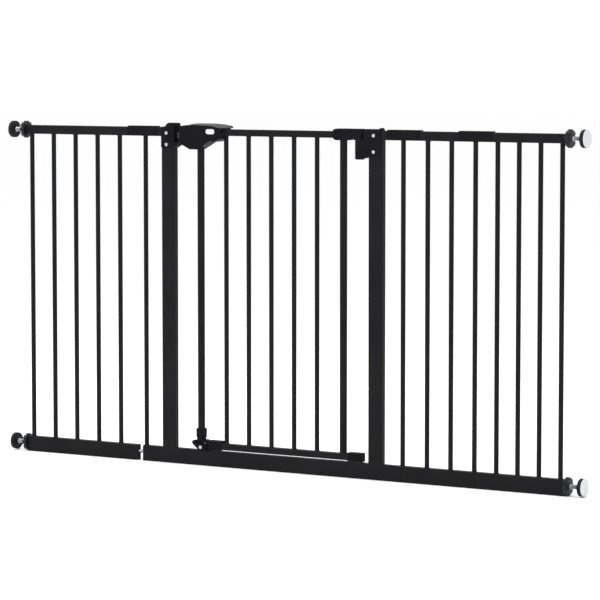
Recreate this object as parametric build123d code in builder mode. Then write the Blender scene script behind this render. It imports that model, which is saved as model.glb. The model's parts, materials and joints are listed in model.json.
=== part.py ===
"""Pressure-fit safety gate with a walk-through door and three side extensions.

Frame: +X to the right along the gate, +Z up, the front face towards -Y.
Origin: floor level, middle of the door opening, middle of the tube depth.
All sizes are in millimetres.
"""
import os

from build123d import *

os.makedirs("parts", exist_ok=True)

# ---- driving dimensions -------------------------------------------------
TUBE_D = 16.0           # front-to-back size of every rail and post
WALL = 1.5              # tube wall
BASE_H = 35.0           # height of the floor rail
TOP_Z = 750.0           # top of the upper rail and of the posts
TOP_H = 20.0            # height of the upper rail
BAR_D = 10.4            # upright bars
STILE_D = 16.0          # round tubes at the two ends of the door
POST_W = 34.5           # door posts
POST_X = 266.6          # post centre, either side of the door
MAIN_START, MAIN_END = -337.0, 341.0    # ends of the main frame
MAIN_BAR = 331.2        # bar outside each post
LEFT_START, LEFT_END = -655.5, -353.4
LEFT_BARS = [-645.6, -584.6, -523.6, -462.6, -401.6]
NEAR_START, NEAR_END = 341.0, 516.8
NEAR_BARS = [390.6, 447.8, 505.0]
FAR_START, FAR_END = 516.8, 718.5
FAR_BARS = [557.2, 607.4, 657.6, 707.8]
STILE_X = 183.5
DOOR_BARS = [-116.8, -58.4, 0.0, 58.4, 116.8]
DOOR_RAIL_H = 14.6
DOOR_TOP_Z = 747.5      # top of the door's upper rail and stiles
DOOR_LOW_Z = 37.8       # underside of the door's lower rail
FIT = 0.05              # clearance between pieces pushed together
RUN = 0.3               # clearance between pieces that move apart

# Pressure spindles
ROD_R = 4.9
NUT_R = 19.6
NUT_T = 9.6
PAD_R = 19.0
ROD_LEN = 96.0
FLANGE = 1.5            # flange of the plug that closes a rail end
PAD_FACE_X = 46.0       # rail end to the outer face of the pad
UPPER_Z = 740.0
LOWER_Z = 20.5

# Screws that hold the plastic fittings to the frame
SCREW_R = 4.2
SHANK_R = 2.1
CATCH_SCREW_X = -268.5
CATCH_SCREW_Z = (737.2, 711.7)
HINGE_SCREW_X = 264.2
HINGE_SCREW_Z = (739.4, 704.6)
CRADLE_SCREW_X = -179.2
CRADLE_SCREW_Z = 41.4

# Joints between rails
PIN_R = 4.0
PLUG_LEN = 18.0

# Hinge
HINGE_X = 224.0
HINGE_PIN_R = 4.0
BARREL_R = 10.6

# Latch
HOUSE_Y = 17.0          # half depth of the handle housing
SHELL = 2.2
BOLT_Z = 732.0
SLIDE_TOP = 760.0


def save(part, label):
    part.label = label
    export_step(part, "parts/" + label + ".step")


def box_tube(x0, x1, z0, height):
    """Rectangular tube along X with rounded corners."""
    with BuildPart() as tube:
        with BuildSketch(Plane.YZ.offset(x0)):
            with Locations((0, z0 + height / 2)):
                RectangleRounded(TUBE_D, height, 2.0)
                RectangleRounded(TUBE_D - 2 * WALL, height - 2 * WALL, 0.8,
                                 mode=Mode.SUBTRACT)
        extrude(amount=x1 - x0)
    return tube.part


def bars(xs, z0, z1):
    """Round upright bars, one solid for each position."""
    with BuildPart() as group:
        with BuildSketch(Plane.XY.offset(z0)):
            with Locations(*[(x, 0) for x in xs]):
                Circle(BAR_D / 2)
        extrude(amount=z1 - z0)
    return group.part


def prism(points, y0, y1):
    """Solid with an outline in the XZ plane, running from y0 back to y1."""
    with BuildPart() as block:
        with BuildSketch(Plane.XZ.offset(-y1)):
            with BuildLine():
                Polyline(*points, close=True)
            make_face()
        extrude(amount=y1 - y0)
    return block.part


def screw_holes(x, zs, front_y, depth):
    """Tool for the shanks of screws that enter a fitting from the front."""
    with BuildPart() as tool:
        with BuildSketch(Plane.XZ.offset(front_y)):
            with Locations(*[(x, z) for z in zs]):
                Circle(SHANK_R + FIT)
        extrude(amount=-depth)
    return tool.part


# ---- fixed frame: rails, posts and bars ---------------------------------
with BuildPart() as main_bottom_rail:
    add(box_tube(MAIN_START, MAIN_END, 0, BASE_H))
    # hole for the bush of the lower hinge
    with Locations((HINGE_X, 0, BASE_H - WALL / 2)):
        Cylinder(6.55, 3 * WALL, mode=Mode.SUBTRACT)
save(main_bottom_rail.part, "main_bottom_rail")


def post(centre, screw_x, screw_zs):
    """Door post with two small holes in its front wall."""
    with BuildPart() as tube:
        with BuildSketch(Plane.XY.offset(BASE_H)):
            with Locations((centre, 0)):
                RectangleRounded(POST_W, TUBE_D, 2.5)
                RectangleRounded(POST_W - 2 * WALL, TUBE_D - 2 * WALL, 1.2,
                                 mode=Mode.SUBTRACT)
        extrude(amount=TOP_Z - BASE_H)
        with BuildSketch(Plane.XZ.offset(TUBE_D / 2 + 1)):
            with Locations(*[(screw_x, z) for z in screw_zs]):
                Circle(SHANK_R + FIT)
        extrude(amount=-4, mode=Mode.SUBTRACT)
    return tube.part


save(post(-POST_X, CATCH_SCREW_X, CATCH_SCREW_Z), "left_post")
save(post(POST_X, HINGE_SCREW_X, HINGE_SCREW_Z), "right_post")

POST_OUT = POST_X + POST_W / 2
save(box_tube(MAIN_START, -POST_OUT, TOP_Z - TOP_H, TOP_H), "left_top_stub")
save(box_tube(POST_OUT, MAIN_END, TOP_Z - TOP_H, TOP_H), "right_top_stub")
BAR_TOP = TOP_Z - TOP_H
save(bars([-MAIN_BAR, MAIN_BAR], BASE_H, BAR_TOP), "main_outer_bars")

save(box_tube(LEFT_START, LEFT_END, TOP_Z - TOP_H, TOP_H), "left_ext_top_rail")
save(box_tube(LEFT_START, LEFT_END, 0, BASE_H), "left_ext_bottom_rail")
save(bars(LEFT_BARS, BASE_H, BAR_TOP), "left_ext_bars")
save(box_tube(NEAR_START, NEAR_END, TOP_Z - TOP_H, TOP_H), "near_ext_top_rail")
save(box_tube(NEAR_START, NEAR_END, 0, BASE_H), "near_ext_bottom_rail")
save(bars(NEAR_BARS, BASE_H, BAR_TOP), "near_ext_bars")
save(box_tube(FAR_START, FAR_END, TOP_Z - TOP_H, TOP_H), "far_ext_top_rail")
save(box_tube(FAR_START, FAR_END, 0, BASE_H), "far_ext_bottom_rail")
save(bars(FAR_BARS, BASE_H, BAR_TOP), "far_ext_bars")

# ---- joints between the main frame and its extensions --------------------
# Each entry: end of the left-hand rail, end of the right-hand rail.
RAIL_JOINTS = [(LEFT_END, MAIN_START), (MAIN_END, NEAR_START),
               (NEAR_END, FAR_START)]


def plug(x_end, direction, z0, height, length, bore, flange):
    """Plastic plug in a rail end; direction points out of the tube."""
    with BuildPart() as piece:
        with BuildSketch(Plane.YZ.offset(x_end)):
            with Locations((0, z0 + height / 2)):
                RectangleRounded(TUBE_D - 2 * WALL - 2 * FIT,
                                 height - 2 * WALL - 2 * FIT, 0.7)
        extrude(amount=-direction * length)
        if flange:
            with BuildSketch(Plane.YZ.offset(x_end)):
                with Locations((0, z0 + height / 2)):
                    RectangleRounded(TUBE_D, height, 2.0)
            extrude(amount=direction * flange)
        hole_z = UPPER_Z if z0 > BASE_H else LOWER_Z
        with BuildSketch(Plane.YZ.offset(x_end - direction * (length + 1))):
            with Locations((0, hole_z)):
                Circle(bore)
        extrude(amount=direction * (length + flange + 2), mode=Mode.SUBTRACT)
    return piece.part


with BuildPart() as joint_plugs:
    for low, high in RAIL_JOINTS:
        for z0, height in ((0, BASE_H), (TOP_Z - TOP_H, TOP_H)):
            add(plug(low - 0.2, 1, z0, height, PLUG_LEN, PIN_R + FIT, 0))
            add(plug(high + 0.2, -1, z0, height, PLUG_LEN, PIN_R + FIT, 0))
save(joint_plugs.part, "joint_plugs")

with BuildPart() as joint_pins:
    for low, high in RAIL_JOINTS:
        for z in (LOWER_Z, UPPER_Z):
            with BuildSketch(Plane.YZ.offset(low - 26)):
                with Locations((0, z)):
                    Circle(PIN_R)
            extrude(amount=high - low + 52)
save(joint_pins.part, "joint_pins")


def sleeve(centre, length):
    """Inverted U clipped over the upper rails where two of them meet."""
    with BuildPart() as clip:
        with BuildSketch(Plane.YZ.offset(centre - length / 2)):
            with Locations((0, TOP_Z - TOP_H / 2 + 1.2)):
                RectangleRounded(TUBE_D + 4.0, TOP_H + 2.4, 2.6)
            with Locations((0, TOP_Z - TOP_H / 2)):
                RectangleRounded(TUBE_D + 2 * FIT, TOP_H + 2 * FIT, 2.0,
                                 mode=Mode.SUBTRACT)
            with Locations((0, TOP_Z - TOP_H)):
                Rectangle(TUBE_D + 2 * FIT, 4.6, mode=Mode.SUBTRACT)
        extrude(amount=length)
        fillet(clip.edges().filter_by(Axis.Y).group_by(Axis.Z)[-1], 0.6)
    return clip.part


save(sleeve(-335.5, 76), "left_top_sleeve")
save(sleeve(335.0, 78), "near_top_sleeve")
save(sleeve(507.5, 78), "far_top_sleeve")

with BuildPart() as spindle_plugs:
    for x_end, side in ((LEFT_START, -1), (FAR_END, 1)):
        for z0, height in ((0, BASE_H), (TOP_Z - TOP_H, TOP_H)):
            add(plug(x_end, side, z0, height, 16, ROD_R + FIT, FLANGE))
save(spindle_plugs.part, "spindle_plugs")


# ---- pressure spindles -----------------------------------------------------
def on_axis(x, side, z):
    """Plane across the spindle with its normal pointing at the wall."""
    return Plane(origin=(x, 0, z), x_dir=(0, 1, 0), z_dir=(side, 0, 0))


def hand_nut(x_end, side, z):
    """Lobed nut turned by hand; it bears on the plug in the rail end."""
    start = x_end + side * (FLANGE + RUN)
    with BuildPart() as nut:
        with BuildSketch(on_axis(start, side, z)):
            Circle(NUT_R)
            with PolarLocations(NUT_R + 0.6, 8, start_angle=22.5):
                Circle(3.0, mode=Mode.SUBTRACT)
        extrude(amount=NUT_T)
        with BuildSketch(on_axis(start + side * NUT_T, side, z)):
            Circle(10.5)
        extrude(amount=1.6, taper=20)
        with BuildSketch(on_axis(start - side, side, z)):
            Circle(ROD_R + FIT)
        extrude(amount=NUT_T + 4, mode=Mode.SUBTRACT)
    return nut.part


def spindle(x_end, side, z):
    """Screwed rod with a thin collar where it enters the pad."""
    outer = x_end + side * (PAD_FACE_X - 4.0)
    with BuildPart() as rod:
        with BuildSketch(on_axis(outer, side, z)):
            Circle(ROD_R)
        extrude(amount=-ROD_LEN)
        with BuildSketch(on_axis(x_end + side * (PAD_FACE_X - 13.0), side, z)):
            Circle(6.6)
        extrude(amount=1.6)
    return rod.part


def pad_cup(x_end, side, z):
    """Black disc with a rounded back, bored for the end of the rod."""
    back = x_end + side * (PAD_FACE_X - 11.4)
    with BuildPart() as cup:
        with BuildSketch(on_axis(back, side, z)):
            Circle(11.0)
        with BuildSketch(on_axis(back + side * 0.4, side, z)):
            Circle(PAD_R - 1.2)
        loft()
        with BuildSketch(on_axis(back + side * 0.4, side, z)):
            Circle(PAD_R - 1.2)
        with BuildSketch(on_axis(back + side * 1.6, side, z)):
            Circle(PAD_R)
        loft()
        with BuildSketch(on_axis(back + side * 1.6, side, z)):
            Circle(PAD_R)
        extrude(amount=8.2)
        with BuildSketch(on_axis(back, side, z)):
            Circle(ROD_R + 0.02)
        extrude(amount=7.42, mode=Mode.SUBTRACT)
    return cup.part


def pad_face(x_end, side, z):
    """Pale grip disc stuck on the front of the cup."""
    with BuildPart() as disc:
        with BuildSketch(on_axis(x_end + side * (PAD_FACE_X - 1.6), side, z)):
            Circle(PAD_R - 0.3)
        extrude(amount=1.6)
        fillet(disc.edges().sort_by(Axis.X)[-1 if side > 0 else 0], 0.5)
    return disc.part


for corner, x_end, side, z in (
    ("left_upper", LEFT_START, -1, UPPER_Z),
    ("left_lower", LEFT_START, -1, LOWER_Z),
    ("right_upper", FAR_END, 1, UPPER_Z),
    ("right_lower", FAR_END, 1, LOWER_Z),
):
    save(hand_nut(x_end, side, z), corner + "_nut")
    save(spindle(x_end, side, z), corner + "_rod")
    save(pad_cup(x_end, side, z), corner + "_pad")
    save(pad_face(x_end, side, z), corner + "_pad_face")

# ---- catch on the left post -------------------------------------------------
CATCH_IN = -235.6       # face of the catch next to the door
CATCH_OUTLINE = [
    (-283.6, 705.5), (-283.6, 750.6), (-272.4, 752.2), (-268.8, 757.2),
    (-264.2, 760.0), (-247.0, 760.0), (-243.6, 757.8), (-243.6, 751.6),
    (CATCH_IN, 750.0), (CATCH_IN, 719.0), (-241.0, 709.8), (-249.0, 704.9),
    (-280.0, 703.6),
]
with BuildPart() as latch_catch:
    add(prism(CATCH_OUTLINE, -10.0, 10.0))
    fillet(latch_catch.edges().group_by(Axis.Y)[0], 0.9)
    fillet(latch_catch.edges().group_by(Axis.Y)[-1], 0.9)
    # socket over the head of the post
    with BuildSketch(Plane.XY.offset(700)):
        with Locations((-POST_X, 0)):
            RectangleRounded(POST_W + 2 * FIT, TUBE_D + 2 * FIT, 2.5)
    extrude(amount=TOP_Z + FIT - 700, mode=Mode.SUBTRACT)
    # clearance for the end of the upper rail
    with Locations((-POST_OUT, 0, TOP_Z - TOP_H / 2)):
        Box(8, TUBE_D + 2 * FIT, TOP_H + 2 * FIT, mode=Mode.SUBTRACT)
    # the front of the catch is set back beside the door
    with Locations((-241.9, -7.4, 735.6)):
        Box(14.2, 9.6, 37.6, mode=Mode.SUBTRACT)
    # channel for the latch bolt, open front and back, tall enough for the lift
    with Locations((CATCH_IN - 5.5, 0, BOLT_Z + 3.8)):
        Box(11.4, 24, 22.4, mode=Mode.SUBTRACT)
    add(screw_holes(CATCH_SCREW_X, CATCH_SCREW_Z, 12, 5), mode=Mode.SUBTRACT)
save(latch_catch.part, "latch_catch")

# ---- hinge side of the frame ------------------------------------------------
LUG_Z0, LUG_Z1 = 687.6, 727.8
BRACKET_IN = 237.0
BRACKET_OUT = 281.2
with BuildPart() as hinge_bracket:
    # block between the door and the post, with a cap over the head of the post
    with BuildSketch(Plane.XY.offset(694.0)):
        with Locations(((BRACKET_IN + BRACKET_OUT) / 2, 0)):
            RectangleRounded(BRACKET_OUT - BRACKET_IN, 20.0, 2.0)
    extrude(amount=753.0 - 694.0)
    fillet(hinge_bracket.edges().group_by(Axis.Z)[-1], 1.4)
    # low rib across the outer end of the cap
    with Locations((BRACKET_OUT - 3.0, 0, 753.4)):
        Box(2.8, 16.0, 4.4)
    # raised panel that carries the two screws
    with BuildSketch(Plane.XZ.offset(10.0)):
        with Locations((264.4, 722.0)):
            RectangleRounded(24.0, 51.0, 3.0)
    extrude(amount=1.2)
    # hinge barrel with a curved web under it
    add(prism([(HINGE_X, LUG_Z0 + 3), (HINGE_X, LUG_Z1),
               (BRACKET_IN + 2, LUG_Z1), (BRACKET_IN + 14, 694.8),
               (BRACKET_IN + 8, 692.0), (BRACKET_IN + 2, 690.4),
               (BRACKET_IN - 6, 689.6)], -8.6, 8.6))
    with BuildSketch(Plane.XY.offset(LUG_Z0)):
        with Locations((HINGE_X, 0)):
            Circle(BARREL_R - 1.8)
    with BuildSketch(Plane.XY.offset(LUG_Z0 + 1.8)):
        with Locations((HINGE_X, 0)):
            Circle(BARREL_R)
    loft()
    with BuildSketch(Plane.XY.offset(LUG_Z0 + 1.8)):
        with Locations((HINGE_X, 0)):
            Circle(BARREL_R)
    extrude(amount=LUG_Z1 - LUG_Z0 - 1.8)
    with BuildSketch(Plane.XY.offset(LUG_Z0 + 5)):
        with Locations((HINGE_X, 0)):
            Circle(HINGE_PIN_R + FIT)
    extrude(amount=60, mode=Mode.SUBTRACT)
    # room for the hinge cap of the door to swing past the block
    with BuildSketch(Plane.XY.offset(LUG_Z1)):
        with Locations((HINGE_X, 0)):
            Circle(11.0 + 2.6)
    extrude(amount=40, mode=Mode.SUBTRACT)
    # socket over the post and its upper rail
    with BuildSketch(Plane.XY.offset(690)):
        with Locations((POST_X, 0)):
            RectangleRounded(POST_W + 2 * FIT, TUBE_D + 2 * FIT, 2.5)
    extrude(amount=TOP_Z + FIT - 690, mode=Mode.SUBTRACT)
    add(screw_holes(HINGE_SCREW_X, HINGE_SCREW_Z, 13, 6), mode=Mode.SUBTRACT)
save(hinge_bracket.part, "hinge_bracket")

with BuildPart() as lower_hinge_bush:
    with BuildSketch(Plane.XY.offset(24)):
        with Locations((HINGE_X, 0)):
            Circle(6.5)
    extrude(amount=BASE_H - 24)
    with BuildSketch(Plane.XY.offset(BASE_H)):
        with Locations((HINGE_X, 0)):
            Circle(7.8)
    extrude(amount=1.0)
    with BuildSketch(Plane.XY.offset(26)):
        with Locations((HINGE_X, 0)):
            Circle(HINGE_PIN_R + FIT)
    extrude(amount=20, mode=Mode.SUBTRACT)
save(lower_hinge_bush.part, "lower_hinge_bush")

# ---- lower catch under the latch side of the door ---------------------------
CRADLE_X = -STILE_X
CRADLE_OUTLINE = [
    (CRADLE_X - 1.5, BASE_H), (CRADLE_X - 12.5, 43.4),
    (CRADLE_X - 17.9, 48.4), (CRADLE_X - 19.0, 51.8),
    (CRADLE_X - 17.4, 55.2), (CRADLE_X - 14.2, 56.4),
    (CRADLE_X - 11.4, 54.6), (CRADLE_X - 7.6, 47.4),
    (CRADLE_X + 7.6, 47.4), (CRADLE_X + 11.5, 50.2),
    (CRADLE_X + 18.6, 50.2), (CRADLE_X + 18.6, BASE_H),
]
with BuildPart() as lower_catch:
    add(prism(CRADLE_OUTLINE, -11.0, 11.0))
    # recess underneath for the weld that locates it
    with Locations((CRADLE_X + 8, 0, BASE_H + 1.0)):
        Box(14, 10, 2.0, mode=Mode.SUBTRACT)
    add(screw_holes(CRADLE_SCREW_X, [CRADLE_SCREW_Z], 12, 9), mode=Mode.SUBTRACT)
save(lower_catch.part, "lower_catch")

# slotted pan-head screws: x, height of the seat in front of the tube, z
SCREW_PLACES = [(CATCH_SCREW_X, 10.0, z) for z in CATCH_SCREW_Z]
SCREW_PLACES += [(HINGE_SCREW_X, 11.2, z) for z in HINGE_SCREW_Z]
SCREW_PLACES += [(CRADLE_SCREW_X, 11.0, CRADLE_SCREW_Z)]
with BuildPart() as frame_screws:
    for x, seat, z in SCREW_PLACES:
        with BuildSketch(Plane.XZ.offset(seat)):
            with Locations((x, z)):
                Circle(SCREW_R)
        extrude(amount=1.6, taper=18)
        with BuildSketch(Plane.XZ.offset(seat)):
            with Locations((x, z)):
                Circle(SHANK_R)
        extrude(amount=-6.5)
        with BuildSketch(Plane.XZ.offset(seat + 0.9)):
            with Locations((x, z)):
                Rectangle(SCREW_R * 1.5, 0.9)
        extrude(amount=1.0, mode=Mode.SUBTRACT)
save(frame_screws.part, "frame_screws")

# ---- hinge pins: they turn with neither side and rise when the door lifts ---
with BuildPart() as upper_hinge_pin:
    with BuildSketch(Plane.XY.offset(LUG_Z0 + 6)):
        with Locations((HINGE_X, 0)):
            Circle(HINGE_PIN_R)
    extrude(amount=748.0 - LUG_Z0 - 6)
save(upper_hinge_pin.part, "upper_hinge_pin")
with BuildPart() as lower_hinge_pin:
    with BuildSketch(Plane.XY.offset(26.5)):
        with Locations((HINGE_X, 0)):
            Circle(HINGE_PIN_R)
    extrude(amount=50.0 - 26.5)
save(lower_hinge_pin.part, "lower_hinge_pin")


# ---- door ---------------------------------------------------------------------
def stile(centre, bottom):
    """Round tube at one end of the door."""
    with BuildPart() as tube:
        with BuildSketch(Plane.XY.offset(bottom)):
            with Locations((centre, 0)):
                Circle(STILE_D / 2)
                Circle(STILE_D / 2 - WALL, mode=Mode.SUBTRACT)
        extrude(amount=DOOR_TOP_Z - bottom)
    return tube.part


def door_rail(x0, x1, z0):
    """Flat tube of the door, coped where it meets the round stiles."""
    with BuildPart() as tube:
        with BuildSketch(Plane.YZ.offset(x0)):
            with Locations((0, z0 + DOOR_RAIL_H / 2)):
                RectangleRounded(TUBE_D, DOOR_RAIL_H, 2.0)
                RectangleRounded(TUBE_D - 2 * WALL, DOOR_RAIL_H - 2 * WALL, 0.8,
                                 mode=Mode.SUBTRACT)
        extrude(amount=x1 - x0)
        with Locations((-STILE_X, 0, z0), (STILE_X, 0, z0)):
            Cylinder(STILE_D / 2, 60, mode=Mode.SUBTRACT)
    return tube.part


LATCH_STILE_BOTTOM = 66.0
LOW_RAIL_TOP = DOOR_LOW_Z + DOOR_RAIL_H
save(stile(-STILE_X, LATCH_STILE_BOTTOM), "latch_stile")
save(stile(STILE_X, LOW_RAIL_TOP), "hinge_stile")
save(door_rail(-STILE_X, STILE_X, DOOR_TOP_Z - DOOR_RAIL_H), "door_top_rail")
save(box_tube(-150.0, 212.0, DOOR_LOW_Z, DOOR_RAIL_H), "door_bottom_rail")
save(bars(DOOR_BARS, LOW_RAIL_TOP, DOOR_TOP_Z - DOOR_RAIL_H), "door_bars")

with BuildPart() as upper_hinge_cap:
    add(prism([(162.0, 733.5), (162.0, 749.0), (165.2, 752.2), (171.0, 753.2),
               (HINGE_X + 11.0, 753.2), (HINGE_X + 11.0, 728.2),
               (HINGE_X - 7.0, 728.2), (HINGE_X - 10.4, 732.0),
               (HINGE_X - 18.0, 729.4), (HINGE_X - 26.0, 728.2),
               (169.6, 728.2), (164.6, 729.8)], -11.0, 11.0))
    fillet(upper_hinge_cap.edges().group_by(Axis.Y)[0], 1.0)
    fillet(upper_hinge_cap.edges().group_by(Axis.Y)[-1], 1.0)
    # the hinge end is round in plan
    with BuildSketch(Plane.XY.offset(720)):
        with Locations((HINGE_X + 10, 0)):
            Rectangle(20, 30)
        with Locations((HINGE_X, 0)):
            Circle(11.0, mode=Mode.SUBTRACT)
    extrude(amount=40, mode=Mode.SUBTRACT)
    with BuildSketch(Plane.XY.offset(700)):
        with Locations((STILE_X, 0)):
            Circle(STILE_D / 2 + FIT)
    extrude(amount=DOOR_TOP_Z + FIT - 700, mode=Mode.SUBTRACT)
    with Locations((STILE_X - 20, 0, DOOR_TOP_Z - DOOR_RAIL_H / 2)):
        Box(40, TUBE_D + 2 * FIT, DOOR_RAIL_H + 2 * FIT, mode=Mode.SUBTRACT)
    with BuildSketch(Plane.XY.offset(700)):
        with Locations((HINGE_X, 0)):
            Circle(HINGE_PIN_R + FIT)
    extrude(amount=748.2 - 700, mode=Mode.SUBTRACT)
save(upper_hinge_cap.part, "upper_hinge_cap")

with BuildPart() as lower_hinge_block:
    with BuildSketch(Plane.XY.offset(36.4)):
        with Locations(((198.0 + 233.6) / 2, 0)):
            RectangleRounded(233.6 - 198.0, 18.4, 1.4)
    extrude(amount=55.4 - 36.4)
    fillet(lower_hinge_block.edges().group_by(Axis.Z)[-1], 1.2)
    with Locations((205.0, 0, DOOR_LOW_Z + DOOR_RAIL_H / 2)):
        Box(14.2, TUBE_D + 2 * FIT, DOOR_RAIL_H + 2 * FIT, mode=Mode.SUBTRACT)
    with BuildSketch(Plane.XY.offset(30)):
        with Locations((HINGE_X, 0)):
            Circle(HINGE_PIN_R + FIT)
    extrude(amount=50.2 - 30, mode=Mode.SUBTRACT)
save(lower_hinge_block.part, "lower_hinge_block")

# plastic shoe on the foot of the latch stile, with the tongue for the catch
with BuildPart() as stile_shoe:
    with BuildSketch(Plane.XY.offset(66.0)):
        with Locations((-STILE_X, 0)):
            RectangleRounded(20.0, 20.0, 5.0)
    extrude(amount=82.6 - 66.0)
    fillet(stile_shoe.edges().group_by(Axis.Z)[-1], 1.2)
    with BuildSketch(Plane.XY.offset(66.0)):
        with Locations((-STILE_X, 0)):
            RectangleRounded(20.0, 20.0, 5.0)
    with BuildSketch(Plane.XY.offset(56.8)):
        with Locations((-STILE_X, 0)):
            RectangleRounded(15.0, 15.0, 3.0)
    loft()
    with BuildSketch(Plane.XY.offset(56.8)):
        with Locations((-STILE_X, 0)):
            Rectangle(15.0, 13.0)
    with BuildSketch(Plane.XY.offset(48.0)):
        with Locations((-STILE_X, 0)):
            Rectangle(9.0, 9.0)
    loft()
    # web that joins the shoe to the end of the lower rail
    add(prism([(-STILE_X + 3, 51.0), (-STILE_X + 3, 58.6), (-166.4, 57.8),
               (-164.6, 56.4), (-150.0, 56.4), (-150.0, 36.6),
               (-163.4, 36.6), (-163.4, 51.0)], -7.0, 7.0))
    with BuildSketch(Plane.XY.offset(LATCH_STILE_BOTTOM)):
        with Locations((-STILE_X, 0)):
            Circle(STILE_D / 2 + FIT)
    extrude(amount=40, mode=Mode.SUBTRACT)
save(stile_shoe.part, "stile_shoe")

with BuildPart() as lower_corner_block:
    with BuildSketch(Plane.XY.offset(36.6)):
        with Locations((-145.6, 0)):
            RectangleRounded(35.6, 19.6, 2.0)
    extrude(amount=57.4 - 36.6)
    fillet(lower_corner_block.edges().group_by(Axis.Z)[-1], 1.0)
    with Locations((-138.1, 0, DOOR_LOW_Z + DOOR_RAIL_H / 2)):
        Box(24.0, TUBE_D + 2 * FIT, DOOR_RAIL_H + 2 * FIT, mode=Mode.SUBTRACT)
    with Locations((-157.0, 0, 46.0)):
        Box(14.2, 14.0 + 2 * FIT, 60, mode=Mode.SUBTRACT)
save(lower_corner_block.part, "lower_corner_block")

# ---- latch handle --------------------------------------------------------------
HOUSE_OUTLINE = [
    (-230.4, 716.0), (-230.4, 753.0), (-212.0, 755.6), (-146.0, 754.2),
    (-124.0, 749.6), (-106.4, 749.6), (-113.5, 741.0), (-119.5, 729.5),
    (-124.0, 724.9), (-138.5, 719.6), (-148.5, 721.9), (-169.5, 709.6),
    (-183.0, 702.4), (-202.0, 702.0),
]
HOUSE_BORE = [
    (-228.2, 717.6), (-228.2, 750.9), (-212.0, 753.2), (-146.2, 751.8),
    (-124.4, 747.2), (-116.0, 747.2), (-121.0, 733.6), (-125.4, 727.4),
    (-138.4, 722.0), (-148.8, 724.4), (-170.4, 711.9), (-183.6, 704.6),
    (-201.2, 704.2),
]
# The housing narrows to a point at its right end, seen from above.
HOUSE_PLAN = [
    (-231.0, -HOUSE_Y), (-124.0, -HOUSE_Y), (-104.0, -3.0), (-104.0, 3.0),
    (-124.0, HOUSE_Y), (-231.0, HOUSE_Y),
]
BUTTON_X, BUTTON_ZC = -148.4, 741.9
BUTTON_W, BUTTON_H = 22.4, 11.0
SCREW_SPOTS = [(-218.0, 745.0), (-216.0, 716.6), (-132.5, 727.4)]
SLOT_X0, SLOT_X1 = -214.0, -199.0


def half_shell(side):
    """Front (-1) or rear (+1) half of the handle housing."""
    low, high = (-HOUSE_Y, 0.0) if side < 0 else (0.0, HOUSE_Y)
    inner_low = low + SHELL if side < 0 else -1.0
    inner_high = 1.0 if side < 0 else high - SHELL
    with BuildPart() as shell:
        add(prism(HOUSE_OUTLINE, low, high))
        with BuildSketch(Plane.XY.offset(690)):
            with BuildLine():
                Polyline(*HOUSE_PLAN, close=True)
            make_face()
        extrude(amount=80, mode=Mode.INTERSECT)
        add(prism(HOUSE_BORE, inner_low, inner_high), mode=Mode.SUBTRACT)
        # bosses for the screws that close the two halves
        for x, z in SCREW_SPOTS:
            with BuildSketch(Plane.XZ.offset(-high if side > 0 else 0)):
                with Locations((x, z)):
                    Circle(3.6)
            extrude(amount=HOUSE_Y)
        # stile, upper rail and bolt pass through the walls
        with Locations((-STILE_X, 0, 700)):
            Cylinder(STILE_D / 2 + FIT, 2 * (DOOR_TOP_Z - 700) + 0.2,
                     mode=Mode.SUBTRACT)
        with Locations((-130.0, 0, DOOR_TOP_Z - DOOR_RAIL_H / 2)):
            Box(104, TUBE_D + 2 * FIT, DOOR_RAIL_H + 2 * FIT,
                mode=Mode.SUBTRACT)
        with Locations((DOOR_BARS[0], 0, DOOR_TOP_Z - DOOR_RAIL_H)):
            Cylinder(BAR_D / 2 + FIT, 40, mode=Mode.SUBTRACT)
        with Locations((-228.0, 0, BOLT_Z)):
            Box(12, 8.8, 12.8, mode=Mode.SUBTRACT)
        # slot for the stem of the thumb slide
        with Locations(((SLOT_X0 + SLOT_X1) / 2 + 2.5, 0, 753)):
            Box(SLOT_X1 - SLOT_X0 + 5, 9.0, 12, mode=Mode.SUBTRACT)
        if side < 0:
            with BuildSketch(Plane.XZ.offset(HOUSE_Y + 1)):
                with Locations((BUTTON_X, BUTTON_ZC)):
                    RectangleRounded(BUTTON_W + 2 * RUN + 0.2,
                                     BUTTON_H + 2 * RUN + 0.2, 5.2)
            extrude(amount=-6, mode=Mode.SUBTRACT)
        else:
            for x, z in SCREW_SPOTS:
                with BuildSketch(Plane.XZ.offset(-HOUSE_Y - 1)):
                    with Locations((x, z)):
                        Circle(3.05)
                extrude(amount=3.2, mode=Mode.SUBTRACT)
                with BuildSketch(Plane.XZ.offset(-HOUSE_Y - 1)):
                    with Locations((x, z)):
                        Circle(1.55)
                extrude(amount=20, mode=Mode.SUBTRACT)
    return shell.part


save(half_shell(-1), "housing_front")
save(half_shell(1), "housing_rear")
with BuildPart() as housing_screws:
    for x, z in SCREW_SPOTS:
        with BuildSketch(Plane.XZ.offset(-HOUSE_Y + 0.3)):
            with Locations((x, z)):
                Circle(3.0)
        extrude(amount=1.8)
        with BuildSketch(Plane.XZ.offset(-HOUSE_Y + 2.0)):
            with Locations((x, z)):
                Circle(1.5)
        extrude(amount=12)
        with BuildSketch(Plane.XZ.offset(-HOUSE_Y + 0.2)):
            with Locations((x, z)):
                Rectangle(4.4, 0.8)
                Rectangle(0.8, 4.4)
        extrude(amount=1.0, mode=Mode.SUBTRACT)
save(housing_screws.part, "housing_screws")

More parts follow.
